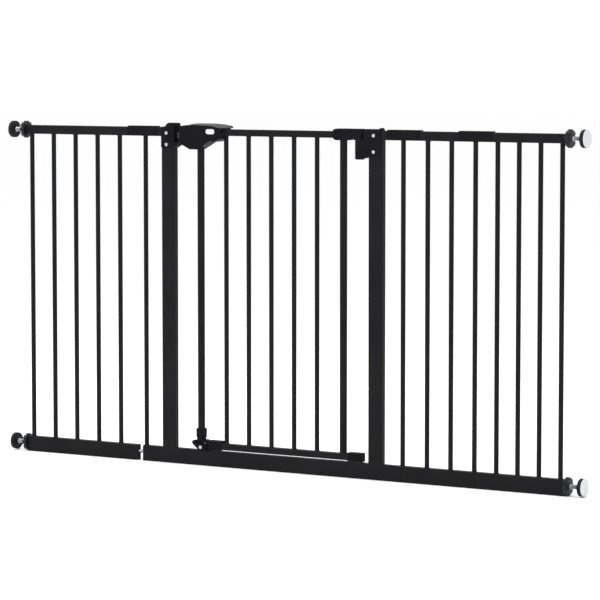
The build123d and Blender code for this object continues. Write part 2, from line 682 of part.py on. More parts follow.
# thumb slide: crowned plate over the housing with a stem down to the bolt;
# each section is (x, half width, underside, edge height, ridge height)
SLIDE_SECTIONS = [
    (-206.5, 15.0, 756.4, 757.0, 757.8), (-198.0, 17.4, 756.2, 756.8, 759.4),
    (-180.0, 17.6, 756.0, 756.6, SLIDE_TOP), (-146.0, 17.6, 754.8, 755.4, 759.8),
    (-124.0, 17.6, 750.0, 750.6, 758.6), (-99.5, 1.6, 750.2, 752.6, 754.8),
]
with BuildPart() as thumb_slide:
    for x, half, low, edge, ridge in SLIDE_SECTIONS:
        with BuildSketch(Plane.YZ.offset(x)):
            with BuildLine():
                Polyline((-half, low), (-half, edge), (-0.45 * half, ridge - 0.6),
                         (0, ridge), (0.45 * half, ridge - 0.6), (half, edge),
                         (half, low), close=True)
            make_face()
    loft(ruled=True)
    # finger ridges
    with Locations(*[(x, 0, SLIDE_TOP + 0.2) for x in range(-188, -168, 4)]):
        Box(1.4, 13, 1.8, mode=Mode.SUBTRACT)
    # stem
    with Locations((-206.0 + 0.5, 0, 750.9)):
        Box(5.0, 8.0, 12.2)
save(thumb_slide.part, "thumb_slide")

with BuildPart() as latch_bolt:
    with BuildSketch(Plane.YZ.offset(-243.6)):
        with Locations((0, BOLT_Z)):
            RectangleRounded(8.0, 12.0, 1.2)
    extrude(amount=40.6)
    chamfer(latch_bolt.edges().group_by(Axis.X)[0], 0.8)
    with Locations((-206.0, 0, 739.8)):
        Box(6.0, 8.0, 10.0)
    # return spring seat
    with Locations((-202.0, 0, BOLT_Z)):
        Box(2.0, 12.0, 12.0)
save(latch_bolt.part, "latch_bolt")

with BuildPart() as lock_button:
    with BuildSketch(Plane.XZ.offset(HOUSE_Y - 3.0)):
        with Locations((BUTTON_X, BUTTON_ZC)):
            RectangleRounded(BUTTON_W, BUTTON_H, 5.0)
    extrude(amount=3.8)
    fillet(lock_button.edges().group_by(Axis.Y)[0], 0.8)
    # rim inside the wall that stops the button falling out
    with BuildSketch(Plane.XZ.offset(HOUSE_Y - SHELL - 1.5)):
        with Locations((BUTTON_X, BUTTON_ZC)):
            RectangleRounded(BUTTON_W + 2.6, BUTTON_H + 2.6, 5.6)
    extrude(amount=1.2)
save(lock_button.part, "lock_button")
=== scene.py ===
"""Pressure-fit safety gate: finishes, threads, nuts, pads and weld beads on the CAD frame.

Lengths are in metres in the frame of the CAD: +X along the gate, +Z up, front towards -Y.
"""
import json
import math

import bmesh
import bpy
from mathutils import Matrix, Vector


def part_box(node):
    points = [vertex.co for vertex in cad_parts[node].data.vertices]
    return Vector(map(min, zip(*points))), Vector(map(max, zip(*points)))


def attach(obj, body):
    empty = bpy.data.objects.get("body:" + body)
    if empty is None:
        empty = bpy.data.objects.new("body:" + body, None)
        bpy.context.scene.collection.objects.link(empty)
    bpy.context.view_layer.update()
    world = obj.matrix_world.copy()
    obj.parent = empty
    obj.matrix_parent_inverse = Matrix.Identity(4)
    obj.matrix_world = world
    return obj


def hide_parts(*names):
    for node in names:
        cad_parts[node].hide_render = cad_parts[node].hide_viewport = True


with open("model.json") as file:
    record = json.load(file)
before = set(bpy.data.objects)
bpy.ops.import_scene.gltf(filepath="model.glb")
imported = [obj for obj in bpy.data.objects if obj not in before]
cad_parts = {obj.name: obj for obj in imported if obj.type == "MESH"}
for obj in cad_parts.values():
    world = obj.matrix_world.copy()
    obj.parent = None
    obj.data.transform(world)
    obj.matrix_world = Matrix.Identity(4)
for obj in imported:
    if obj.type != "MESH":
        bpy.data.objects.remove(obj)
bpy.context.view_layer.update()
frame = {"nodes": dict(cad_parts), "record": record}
MM = 0.001

CORNERS = ("left_upper", "left_lower", "right_upper", "right_lower")
THREAD_PITCH = 1.5 * MM
THREAD_DEPTH = 0.75 * MM
THREAD_STEPS = 6.0          # grid rows along one turn of the thread
THREAD_SIDES = 24           # sides of the rod and of its end caps
ROD_RADIUS = 4.9 * MM
MERGE_GAP = 0.002 * MM      # points closer than this are one point

NUT_SEGMENTS = 192
NUT_LOBES = 8
NUT_NOTCH_DEPTH = 3.6 * MM
NUT_NOTCH_RADIUS = 15.8 * MM
NUT_NOTCH_WIDTH = 0.60      # part of the wave that stays a broad flat lobe
NUT_NOTCH_STEEPNESS = 9.0
NUT_EDGE_RUN = 17.0 * MM    # the outline is drawn in by this at a relative size of 0
NUT_HUB = 1.6 * MM          # height of the hub in front of the lobes

BAR_RADIUS = 5.2 * MM
BEAD_SIZE = 1.1 * MM
BEAD_UNEVENNESS = 0.7 * MM
BEAD_STEPS = 28             # points round a bar
BEAD_SIDES = 8              # points round the section of a bead
BAR_GAP = 20 * MM           # bars of one panel are further apart than this

SHARP_EDGE = (0.80, 0.995)  # range of the edge mask from sharp to flat


# ---- node helpers ------------------------------------------------------------
def link_all(tree, pairs):
    for source, target in pairs:
        tree.links.new(source, target)


def new_finish(name):
    """Empty material with a Principled shader; returns it with its tree and shader."""
    finish = bpy.data.materials.new(name)
    finish.use_nodes = True
    tree = finish.node_tree
    tree.nodes.clear()
    shader = tree.nodes.new("ShaderNodeBsdfPrincipled")
    output = tree.nodes.new("ShaderNodeOutputMaterial")
    tree.links.new(shader.outputs["BSDF"], output.inputs["Surface"])
    return finish, tree, shader


def noise(tree, scale, detail=2.0, roughness=0.5, stretch=None):
    """Noise on Object coordinates; stretch scales the pattern along X, Y and Z."""
    coords = tree.nodes.new("ShaderNodeTexCoord")
    texture = tree.nodes.new("ShaderNodeTexNoise")
    texture.inputs["Scale"].default_value = scale
    texture.inputs["Detail"].default_value = detail
    texture.inputs["Roughness"].default_value = roughness
    source = coords.outputs["Object"]
    if stretch:
        mapping = tree.nodes.new("ShaderNodeMapping")
        mapping.inputs["Scale"].default_value = stretch
        tree.links.new(source, mapping.inputs["Vector"])
        source = mapping.outputs["Vector"]
    tree.links.new(source, texture.inputs["Vector"])
    return texture.outputs["Fac"]


def spread(tree, value, low, high, start=0.3, end=0.7):
    """Maps a value between start and end to a number between low and high."""
    node = tree.nodes.new("ShaderNodeMapRange")
    node.inputs["From Min"].default_value = start
    node.inputs["From Max"].default_value = end
    node.inputs["To Min"].default_value = low
    node.inputs["To Max"].default_value = high
    tree.links.new(value, node.inputs["Value"])
    return node.outputs["Result"]


def blend_colours(tree, factor, first, second):
    """Mix of two colours; either one may be a socket."""
    mix = tree.nodes.new("ShaderNodeMix")
    mix.data_type = "RGBA"
    tree.links.new(factor, mix.inputs["Factor"])
    colour_inputs = [s for s in mix.inputs if s.type == "RGBA"]
    for socket, colour in zip(colour_inputs, (first, second)):
        if isinstance(colour, tuple):
            socket.default_value = (*colour, 1.0)
        else:
            tree.links.new(colour, socket)
    return [s for s in mix.outputs if s.type == "RGBA"][0]


def edge_mask(tree, radius, low, high):
    """Rises from 0 to 1 within a short distance of a sharp edge."""
    rounded = tree.nodes.new("ShaderNodeBevel")
    rounded.samples = 4
    rounded.inputs["Radius"].default_value = radius
    geometry = tree.nodes.new("ShaderNodeNewGeometry")
    dot = tree.nodes.new("ShaderNodeVectorMath")
    dot.operation = "DOT_PRODUCT"
    tree.links.new(rounded.outputs["Normal"], dot.inputs[0])
    tree.links.new(geometry.outputs["Normal"], dot.inputs[1])
    return spread(tree, dot.outputs["Value"], 1.0, 0.0, start=low, end=high)


def bump(tree, shader, height, strength, distance):
    node = tree.nodes.new("ShaderNodeBump")
    node.inputs["Strength"].default_value = strength
    node.inputs["Distance"].default_value = distance
    tree.links.new(height, node.inputs["Height"])
    tree.links.new(node.outputs["Normal"], shader.inputs["Normal"])


# ---- finishes ------------------------------------------------------------------
def powder_coat():
    """Satin black powder coat: orange peel, faint mottling, edges lightened by wear and by a painted
    highlight.
    """
    finish, tree, shader = new_finish("powder_coat")
    mottle = noise(tree, 14.0, 4.0, 0.6)
    tone = blend_colours(tree, spread(tree, mottle, 0.0, 1.0),
                         (0.0064, 0.0064, 0.0072), (0.0096, 0.0096, 0.0106))
    # Lighter sharp edges: partly edge wear, partly a painted highlight where light catches the rounded
    # edges.
    wear_and_highlight_mask = edge_mask(tree, 1.6 * MM, *SHARP_EDGE)
    colour = blend_colours(tree, wear_and_highlight_mask, tone, (0.026, 0.027, 0.029))
    tree.links.new(colour, shader.inputs["Base Color"])
    dust = noise(tree, 55.0, 3.0, 0.6)
    tree.links.new(spread(tree, dust, 0.30, 0.44), shader.inputs["Roughness"])
    shader.inputs["IOR"].default_value = 1.15
    peel = noise(tree, 900.0, 2.0, 0.5)
    bump(tree, shader, peel, 0.16, 0.25 * MM)
    return finish


def moulded_plastic(name, dark, light, wear_and_highlight_colour, rough_low, rough_high, grain=2300.0,
                    index=1.09):
    """Fine spark-eroded mould texture with a little colour variation, and sharp edges lightened by wear
    and by a painted highlight.
    """
    finish, tree, shader = new_finish(name)
    cloud = noise(tree, 24.0, 3.0, 0.55)
    tone = blend_colours(tree, spread(tree, cloud, 0.0, 1.0), dark, light)
    # Lighter sharp edges: partly edge wear, partly a painted highlight on the rounded edges.
    wear_and_highlight_mask = edge_mask(tree, 1.0 * MM, *SHARP_EDGE)
    colour = blend_colours(tree, wear_and_highlight_mask, tone, wear_and_highlight_colour)
    tree.links.new(colour, shader.inputs["Base Color"])
    smear = noise(tree, 90.0, 2.0, 0.6)
    tree.links.new(spread(tree, smear, rough_low, rough_high),
                   shader.inputs["Roughness"])
    shader.inputs["IOR"].default_value = index
    skin = noise(tree, grain, 2.0, 0.6)
    bump(tree, shader, skin, 0.22, 0.12 * MM)
    return finish


def plated_steel(name, tint, blotch, rough_low, rough_high, stretch=None):
    """Zinc-plated steel: cool blotches and fine machining lines."""
    finish, tree, shader = new_finish(name)
    cloud = noise(tree, 160.0, 3.0, 0.6)
    colour = blend_colours(tree, spread(tree, cloud, 0.0, 1.0), tint, blotch)
    tree.links.new(colour, shader.inputs["Base Color"])
    shader.inputs["Metallic"].default_value = 1.0
    lines = noise(tree, 1200.0, 2.0, 0.5, stretch or (1.0, 1.0, 1.0))
    tree.links.new(spread(tree, lines, rough_low, rough_high),
                   shader.inputs["Roughness"])
    bump(tree, shader, lines, 0.12, 0.06 * MM)
    return finish


def pad_rubber():
    """Black rubber of the wall pads, slightly dusty."""
    finish, tree, shader = new_finish("pad_rubber")
    cloud = noise(tree, 70.0, 4.0, 0.6)
    colour = blend_colours(tree, spread(tree, cloud, 0.0, 1.0),
                           (0.0060, 0.0060, 0.0070), (0.0110, 0.0110, 0.0122))
    tree.links.new(colour, shader.inputs["Base Color"])
    tree.links.new(spread(tree, cloud, 0.44, 0.60), shader.inputs["Roughness"])
    shader.inputs["IOR"].default_value = 1.2
    skin = noise(tree, 1500.0, 3.0, 0.65)
    bump(tree, shader, skin, 0.3, 0.15 * MM)
    return finish


def grip_foam():
    """Pale grip disc with a fine closed-cell grain."""
    finish, tree, shader = new_finish("grip_foam")
    coords = tree.nodes.new("ShaderNodeTexCoord")
    cells = tree.nodes.new("ShaderNodeTexVoronoi")
    cells.inputs["Scale"].default_value = 1300.0
    tree.links.new(coords.outputs["Object"], cells.inputs["Vector"])
    cloud = noise(tree, 90.0, 3.0, 0.6)
    colour = blend_colours(tree, spread(tree, cloud, 0.0, 1.0),
                           (0.50, 0.50, 0.51), (0.58, 0.58, 0.59))
    tree.links.new(colour, shader.inputs["Base Color"])
    tree.links.new(spread(tree, cloud, 0.55, 0.75), shader.inputs["Roughness"])
    bump(tree, shader, cells.outputs["Distance"], 0.25, 0.2 * MM)
    return finish


FINISHES = {
    "powder_coat": powder_coat(),
    # The third colour of each moulded plastic goes on its sharp edges: partly wear, partly a painted
    # highlight.
    "black_plastic": moulded_plastic(
        "black_plastic", (0.0056, 0.0056, 0.0066), (0.0086, 0.0086, 0.0098),
        (0.022, 0.0225, 0.024), 0.38, 0.52),
    "housing_plastic": moulded_plastic(
        "housing_plastic", (0.0052, 0.0052, 0.0062), (0.0078, 0.0078, 0.0090),
        (0.024, 0.0245, 0.026), 0.32, 0.44, grain=2800.0),
    "nut_plastic": moulded_plastic(
        "nut_plastic", (0.0056, 0.0056, 0.0066), (0.0086, 0.0086, 0.0098),
        (0.030, 0.031, 0.033), 0.26, 0.38, index=1.3),
    "slide_plastic": moulded_plastic(
        "slide_plastic", (0.030, 0.031, 0.034), (0.044, 0.045, 0.048),
        (0.085, 0.086, 0.09), 0.34, 0.46, index=1.32),
    "button_plastic": moulded_plastic(
        "button_plastic", (0.50, 0.51, 0.52), (0.58, 0.58, 0.59),
        (0.80, 0.80, 0.80), 0.22, 0.34, index=1.45),
    "rod_zinc": plated_steel("rod_zinc", (0.25, 0.265, 0.28), (0.40, 0.415, 0.43),
                             0.24, 0.42, (6.0, 0.6, 0.6)),
    "screw_zinc": plated_steel("screw_zinc", (0.44, 0.45, 0.46),
                               (0.60, 0.60, 0.61), 0.24, 0.40),
    "pad_rubber": pad_rubber(),
    "grip_foam": grip_foam(),
}
FINISH_OF_SLOT = {
    "black_coat": "powder_coat",
    "black_plastic": "black_plastic",
    "dark_plastic": "slide_plastic",
    "zinc_steel": "rod_zinc",
    "screw_steel": "screw_zinc",
    "white_plastic": "button_plastic",
    "pad_black": "pad_rubber",
    "pad_grip": "grip_foam",
}
HOUSING_NODES = ("housing_front", "housing_rear", "upper_hinge_cap")


def dress(piece, finish_name):
    piece.data.materials.clear()
    piece.data.materials.append(FINISHES[finish_name])


# ---- finishes and softened edges on the CAD nodes --------------------------------
EDGE_ROUNDING = {
    "latch_catch": 0.9, "hinge_bracket": 0.8, "lower_catch": 0.8,
    "upper_hinge_cap": 0.7, "lower_hinge_block": 0.8, "stile_shoe": 0.8,
    "lower_corner_block": 0.7, "housing_front": 0.5, "housing_rear": 0.5,
    "thumb_slide": 0.7, "lock_button": 0.3, "left_top_sleeve": 0.5,
    "near_top_sleeve": 0.5, "far_top_sleeve": 0.5, "frame_screws": 0.25,
    "housing_screws": 0.2, "latch_bolt": 0.4,
}


def soften(piece, size_mm):
    """Joins the loose triangles of a CAD node and rounds its sharp edges."""
    weld = piece.modifiers.new("weld", "WELD")
    weld.merge_threshold = 0.01 * MM
    rounding = piece.modifiers.new("rounding", "BEVEL")
    rounding.width = size_mm * MM
    rounding.segments = 3
    rounding.limit_method = "ANGLE"
    rounding.angle_limit = math.radians(32)


def finish_cad_nodes():
    slots = {s["node"]: s["material_slot"] for s in frame["record"]["subparts"]}
    for name, piece in frame["nodes"].items():
        finish_name = FINISH_OF_SLOT[slots[name]]
        if name in HOUSING_NODES:
            finish_name = "housing_plastic"
        dress(piece, finish_name)
        if name in EDGE_ROUNDING:
            soften(piece, EDGE_ROUNDING[name])


# ---- mesh helpers -------------------------------------------------------------------
def mesh_piece(name, mesh, finish_name):
    piece = bpy.data.objects.new(name, mesh)
    bpy.context.scene.collection.objects.link(piece)
    dress(piece, finish_name)
    return piece


def rings_to_mesh(name, rings):
    """Skins a list of rings with the same number of points into a closed mesh."""
    shape = bmesh.new()
    loops = [[shape.verts.new(point) for point in ring] for ring in rings]
    count = len(loops[0])
    for lower, upper in zip(loops, loops[1:]):
        for i in range(count):
            j = (i + 1) % count
            shape.faces.new((lower[i], lower[j], upper[j], upper[i]))
    shape.faces.new(list(reversed(loops[0])))
    shape.faces.new(loops[-1])
    bmesh.ops.recalc_face_normals(shape, faces=shape.faces)
    mesh = bpy.data.meshes.new(name)
    shape.to_mesh(mesh)
    shape.free()
    return mesh


def smooth_by_angle(mesh, degrees):
    """Shades smooth, with creases kept sharp."""
    mesh.polygons.foreach_set("use_smooth", [True] * len(mesh.polygons))
    mesh.set_sharp_from_angle(angle=math.radians(degrees))


def spindle_frame(corner):
    """Matrix that puts local +X on the spindle axis, pointing at the wall."""
    low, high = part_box(corner + "_rod")
    side = -1.0 if corner.startswith("left") else 1.0
    centre = ((low[1] + high[1]) / 2, (low[2] + high[2]) / 2)
    turn = Matrix.Rotation(math.pi, 4, "Z") if side < 0 else Matrix.Identity(4)
    start = low[0] if side > 0 else high[0]
    return Matrix.Translation((start, centre[0], centre[1])) @ turn, side


def reach(node, side, origin_x):
    """Near and far distance of a node from origin_x, measured towards the wall."""
    low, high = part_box(node)
    ends = sorted((side * (low[0] - origin_x), side * (high[0] - origin_x)))
    return ends[0], ends[1]


def rim_radius(node):
    low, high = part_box(node)
    return (high[2] - low[2]) / 2


# ---- threaded rods: geometry nodes ----------------------------------------------------
def math_node(tree, operation, first, second=None):
    node = tree.nodes.new("ShaderNodeMath")
    node.operation = operation
    for socket, value in zip(node.inputs, (first, second)):
        if value is None:
            continue
        if isinstance(value, (int, float)):
            socket.default_value = value
        else:
            tree.links.new(value, socket)
    return node.outputs[0]


def number_input(tree, name, default):
    socket = tree.interface.new_socket(name, in_out="INPUT",
                                       socket_type="NodeSocketFloat")
    socket.default_value = default
    return socket.identifier


def finish_input(tree):
    socket = tree.interface.new_socket("Finish", in_out="INPUT",
                                       socket_type="NodeSocketMaterial")
    return socket.identifier


def threaded_rod_tree():
    """A rod along +X from the origin, with a screw thread cut in its surface."""
    tree = bpy.data.node_groups.new("threaded_rod", "GeometryNodeTree")
    tree.interface.new_socket("Geometry", in_out="OUTPUT",
                              socket_type="NodeSocketGeometry")
    ids = {
        "Length": number_input(tree, "Length", 0.09),
        "Radius": number_input(tree, "Radius", ROD_RADIUS),
        "Pitch": number_input(tree, "Pitch", THREAD_PITCH),
        "Thread Depth": number_input(tree, "Thread Depth", THREAD_DEPTH),
        "Finish": finish_input(tree),
    }
    given = tree.nodes.new("NodeGroupInput")
    result = tree.nodes.new("NodeGroupOutput")
    length, radius = given.outputs["Length"], given.outputs["Radius"]
    pitch, depth = given.outputs["Pitch"], given.outputs["Thread Depth"]
    grid = tree.nodes.new("GeometryNodeMeshGrid")
    grid.inputs["Size Y"].default_value = 1.0
    grid.inputs["Vertices Y"].default_value = THREAD_SIDES + 1
    steps = math_node(tree, "MULTIPLY", math_node(tree, "DIVIDE", length, pitch),
                      THREAD_STEPS)
    link_all(tree, [(length, grid.inputs["Size X"]),
                    (steps, grid.inputs["Vertices X"])])
    position = tree.nodes.new("GeometryNodeInputPosition")
    parts = tree.nodes.new("ShaderNodeSeparateXYZ")
    tree.links.new(position.outputs[0], parts.inputs[0])
    along = math_node(tree, "ADD", parts.outputs["X"],
                      math_node(tree, "MULTIPLY", length, 0.5))
    angle = math_node(tree, "MULTIPLY", parts.outputs["Y"], 2 * math.pi)
    phase = math_node(tree, "SUBTRACT", math_node(tree, "DIVIDE", along, pitch),
                      parts.outputs["Y"])
    flank = math_node(tree, "MULTIPLY", math_node(tree, "PINGPONG", phase, 0.5), 2.0)
    # the thread runs out at both ends, where the rod has its core radius
    to_end = math_node(tree, "SUBTRACT", math_node(tree, "MULTIPLY", length, 0.5),
                       math_node(tree, "ABSOLUTE", parts.outputs["X"]))
    run_out = math_node(tree, "DIVIDE", to_end, pitch)
    clamp = tree.nodes.new("ShaderNodeClamp")
    tree.links.new(run_out, clamp.inputs["Value"])
    crest = math_node(tree, "MULTIPLY", math_node(tree, "SUBTRACT", 1.0, flank),
                      clamp.outputs[0])
    groove = math_node(tree, "MULTIPLY", depth,
                       math_node(tree, "SUBTRACT", 1.0, crest))
    local_radius = math_node(tree, "SUBTRACT", radius, groove)
    point = tree.nodes.new("ShaderNodeCombineXYZ")
    link_all(tree, [
        (along, point.inputs["X"]),
        (math_node(tree, "MULTIPLY", local_radius,
                   math_node(tree, "COSINE", angle)), point.inputs["Y"]),
        (math_node(tree, "MULTIPLY", local_radius,
                   math_node(tree, "SINE", angle)), point.inputs["Z"]),
    ])
    wrap = tree.nodes.new("GeometryNodeSetPosition")
    link_all(tree, [(grid.outputs["Mesh"], wrap.inputs["Geometry"]),
                    (point.outputs[0], wrap.inputs["Position"])])
    core = math_node(tree, "SUBTRACT", radius, depth)
    join = tree.nodes.new("GeometryNodeJoinGeometry")
    for place in (0.0, 1.0):
        cap = tree.nodes.new("GeometryNodeMeshCircle")
        cap.fill_type = "NGON"
        cap.inputs["Vertices"].default_value = THREAD_SIDES
        tree.links.new(core, cap.inputs["Radius"])
        shift = tree.nodes.new("ShaderNodeCombineXYZ")
        tree.links.new(math_node(tree, "MULTIPLY", length, place), shift.inputs["X"])
        move = tree.nodes.new("GeometryNodeTransform")
        move.inputs["Rotation"].default_value = (0.0, math.pi / 2, 0.0)
        link_all(tree, [(cap.outputs[0], move.inputs["Geometry"]),
                        (shift.outputs[0], move.inputs["Translation"]),
                        (move.outputs[0], join.inputs[0])])
    tree.links.new(wrap.outputs[0], join.inputs[0])
    merge = tree.nodes.new("GeometryNodeMergeByDistance")
    merge.inputs["Distance"].default_value = MERGE_GAP
    realize = tree.nodes.new("GeometryNodeRealizeInstances")
    paint = tree.nodes.new("GeometryNodeSetMaterial")
    link_all(tree, [(join.outputs[0], merge.inputs["Geometry"]),
                    (merge.outputs[0], realize.inputs[0]),
                    (realize.outputs[0], paint.inputs["Geometry"]),
                    (given.outputs["Finish"], paint.inputs["Material"]),
                    (paint.outputs[0], result.inputs[0])])
    return tree, ids


def grow(name, tree, ids, values, start_mesh=None):
    """Runs a geometry-nodes tree and returns its result as a plain mesh."""
    seed = bpy.data.objects.new(name + "_seed",
                                start_mesh or bpy.data.meshes.new(name + "_seed"))
    bpy.context.scene.collection.objects.link(seed)
    modifier = seed.modifiers.new("grow", "NODES")
    modifier.node_group = tree
    for key, value in values.items():
        modifier[ids[key]] = value
    bpy.context.view_layer.update()
    depsgraph = bpy.context.evaluated_depsgraph_get()
    mesh = bpy.data.meshes.new_from_object(seed.evaluated_get(depsgraph))
    mesh.name = name
    bpy.data.objects.remove(seed)
    return mesh


def face_outwards(mesh):
    shape = bmesh.new()
    shape.from_mesh(mesh)
    bmesh.ops.remove_doubles(shape, verts=shape.verts, dist=MERGE_GAP)
    bmesh.ops.recalc_face_normals(shape, faces=shape.faces)
    shape.to_mesh(mesh)
    shape.free()


def turned_ring(along, radii):
    """Ring about X at a distance along it, with one radius for each of its points."""
    turn = 2 * math.pi / len(radii)
    return [Vector((along, radius * math.cos(i * turn), radius * math.sin(i * turn)))
            for i, radius in enumerate(radii)]


def turned_mesh(name, profile, segments=64):
    """Mesh turned about X: profile is a list of (distance along X, radius)."""
    return rings_to_mesh(name, [turned_ring(along, [radius] * segments)
                                for along, radius in profile])


# ---- hand nuts ---------------------------------------------------------------------------
def lobe_radius(angle):
    """Outline of the hand nut: broad flat-topped lobes with round notches."""
    wave = math.cos(NUT_LOBES * angle)
    lobe = 1.0 / (1.0 + math.exp(-(wave + NUT_NOTCH_WIDTH) * NUT_NOTCH_STEEPNESS))
    return NUT_NOTCH_RADIUS + NUT_NOTCH_DEPTH * lobe


def hand_nut_mesh(name, thickness, hub):
    """Lobed nut about X, from x = 0 to thickness, with a low hub at the front."""
    outline = [lobe_radius(2 * math.pi * i / NUT_SEGMENTS)
               for i in range(NUT_SEGMENTS)]
    rings = []
    profile = [(0.0, 0.30), (0.0, 0.86), (0.45 * MM, 0.955), (1.3 * MM, 1.0),
               (thickness - 1.6 * MM, 1.0), (thickness - 0.5 * MM, 0.955),
               (thickness, 0.87)]
    for along, size in profile:
        inset = (1.0 - size) * NUT_EDGE_RUN
        rings.append(turned_ring(along, [radius - inset for radius in outline]))
    face = [(thickness, 13.2), (thickness - 0.7 * MM, 12.6),
            (thickness - 0.7 * MM, 11.2), (thickness + 0.1 * MM, 10.6),
            (thickness + hub - 0.5 * MM, 9.9), (thickness + hub, 9.3),
            (thickness + hub, 5.1), (thickness - 2.0 * MM, 4.95)]
    for along, radius in face:
        rings.append(turned_ring(along, [radius * MM] * NUT_SEGMENTS))
    mesh = rings_to_mesh(name, rings)
    smooth_by_angle(mesh, 38)
    return mesh


# ---- wall pads -------------------------------------------------------------------------------
def pad_profile(depth, rim):
    """Flat back with a rounded edge and a straight rim, out to the grip disc."""
    return [(0.0, 4.95 * MM), (0.0, 10.6 * MM), (0.15 * MM, 12.6 * MM),
            (0.35 * MM, rim - 2.0 * MM), (0.6 * MM, rim - 1.1 * MM),
            (1.0 * MM, rim - 0.45 * MM), (1.4 * MM, rim - 0.12 * MM),
            (1.8 * MM, rim), (depth - 0.5 * MM, rim),
            (depth, rim - 0.4 * MM), (depth, 5.0 * MM)]


def grip_profile(near, far, rim):
    return [(near, 1.0 * MM), (near, rim - 0.1 * MM), (near + 0.3 * MM, rim),
            (far - 0.5 * MM, rim), (far - 0.15 * MM, rim - 0.15 * MM),
            (far, rim - 0.5 * MM), (far, rim - 2.4 * MM),
            (far - 0.3 * MM, rim - 2.7 * MM), (far - 0.3 * MM, rim - 3.1 * MM),
            (far, rim - 3.4 * MM), (far, 1.0 * MM)]


def build_spindles():
    tree, ids = threaded_rod_tree()
    for corner in CORNERS:
        place, side = spindle_frame(corner)
        origin_x = place.translation.x
        near, far = reach(corner + "_rod", side, origin_x)
        mesh = grow(corner + "_thread", tree, ids, {
            "Length": far - near - 0.1 * MM, "Radius": ROD_RADIUS,
            "Pitch": THREAD_PITCH, "Thread Depth": THREAD_DEPTH,
            "Finish": FINISHES["rod_zinc"]})
        face_outwards(mesh)
        mesh.transform(place)
        smooth_by_angle(mesh, 25)
        rod = mesh_piece(corner + "_threaded_rod", mesh, "rod_zinc")

        # steel collar behind the pad
        back = reach(corner + "_pad", side, origin_x)[0]
        collar_mesh = turned_mesh(corner + "_collar", [
            (back - 1.5 * MM, 4.3 * MM), (back - 1.5 * MM, 5.3 * MM),
            (back - 1.2 * MM, 5.7 * MM), (back - 0.4 * MM, 5.7 * MM),
            (back - 0.1 * MM, 5.4 * MM), (back - 0.1 * MM, 4.3 * MM)], 48)
        smooth_by_angle(collar_mesh, 35)
        collar_mesh.transform(place)
        collar = mesh_piece(corner + "_steel_collar", collar_mesh, "screw_zinc")

        near, far = reach(corner + "_nut", side, origin_x)
        nut_mesh = hand_nut_mesh(corner + "_hand_nut", far - near - NUT_HUB, NUT_HUB)
        nut_mesh.transform(place @ Matrix.Translation((near, 0, 0)))
        nut = mesh_piece(corner + "_hand_nut", nut_mesh, "nut_plastic")

        near, far = reach(corner + "_pad", side, origin_x)
        rim = rim_radius(corner + "_pad")
        pad_mesh = turned_mesh(corner + "_wall_pad",
                               [(near + x, r) for x, r in pad_profile(far - near, rim)])
        smooth_by_angle(pad_mesh, 40)
        pad_mesh.transform(place)
        pad = mesh_piece(corner + "_wall_pad", pad_mesh, "pad_rubber")

        near, far = reach(corner + "_pad_face", side, origin_x)
        rim = rim_radius(corner + "_pad_face")
        grip_mesh = turned_mesh(corner + "_grip_disc", grip_profile(near, far, rim))
        smooth_by_angle(grip_mesh, 40)
        grip_mesh.transform(place)
        grip = mesh_piece(corner + "_grip_disc", grip_mesh, "grip_foam")

        for piece, finish_slot in ((rod, "zinc_steel"), (collar, "zinc_steel"),
                                   (pad, "pad_black"), (grip, "pad_grip")):
            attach(piece, "spindle_" + corner)
        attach(nut, "nut_" + corner)
        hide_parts(corner + "_rod")
        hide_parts(corner + "_nut")
        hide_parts(corner + "_pad")
        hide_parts(corner + "_pad_face")


